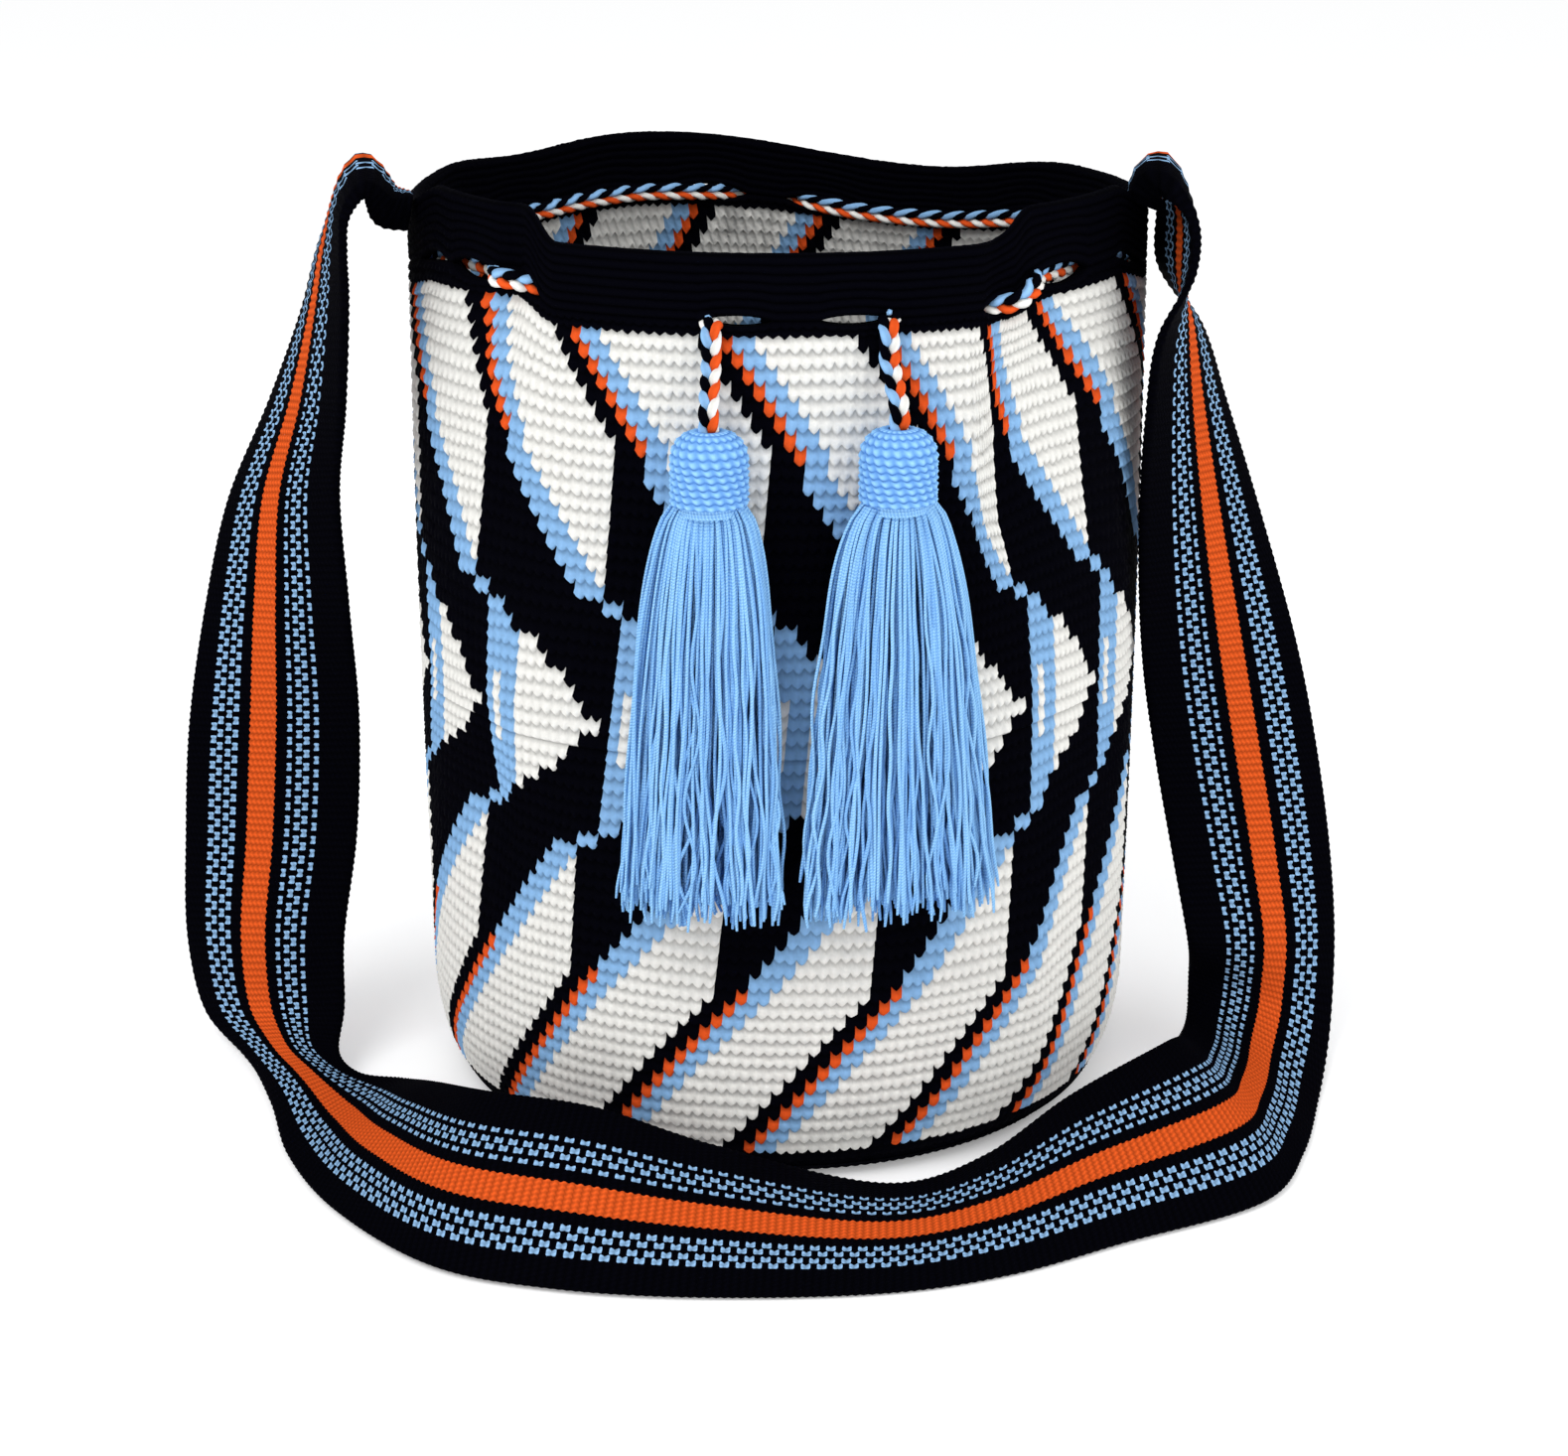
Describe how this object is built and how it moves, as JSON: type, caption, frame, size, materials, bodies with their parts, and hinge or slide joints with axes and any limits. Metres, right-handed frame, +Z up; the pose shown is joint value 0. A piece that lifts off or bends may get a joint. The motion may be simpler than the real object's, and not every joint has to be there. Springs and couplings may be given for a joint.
{
  "type": "crocheted bucket bag",
  "caption": "Tall crocheted bucket bag with a drawstring woven through eyelets under its rim, two yarn tassels on the drawstring's ends and a woven shoulder strap.",
  "frame": {"origin": "centre of the base's underside, on the surface the bag stands on", "axes": "+Z up along the bag's axis, -Y towards the front where the tassels hang, +X to the viewer's right"},
  "size_m": [0.4234, 0.3318, 0.3306],
  "materials": {
    "crochet": "tapestry crochet in cotton yarn: off-white, near black, sky blue and orange",
    "strap_weave": "warp-faced cotton band, near black with an orange stripe and blue dotted columns",
    "braid": "round cotton braid in orange, white, sky blue and black",
    "tassel_yarn": "soft sky blue twisted cotton yarn"
  },
  "bodies": {
    "root": {"bag_body": "crochet", "strap": "strap_weave", "drawstring": "braid"},
    "left_tassel": {"drawstring_end_left": "braid", "tassel_cap_left": "tassel_yarn", "tassel_skirt_left": "tassel_yarn", "tassel_binding_left": "tassel_yarn", "cord_knot_left": "braid"},
    "right_tassel": {"drawstring_end_right": "braid", "tassel_cap_right": "tassel_yarn", "tassel_skirt_right": "tassel_yarn", "tassel_binding_right": "tassel_yarn", "cord_knot_right": "braid"}
  },
  "joints": [
    {"name": "left_tassel_swing", "type": "hinge", "parent": "root", "child": "left_tassel", "pos_m": [-0.01989, -0.12847, 0.2907], "axis": [-0.9882, 0.153, 0], "range_deg": [0, 70]},
    {"name": "right_tassel_swing", "type": "hinge", "parent": "root", "child": "right_tassel", "pos_m": [0.0343, -0.12539, 0.2907], "axis": [-0.9646, -0.2639, 0], "range_deg": [0, 70]}
  ]
}
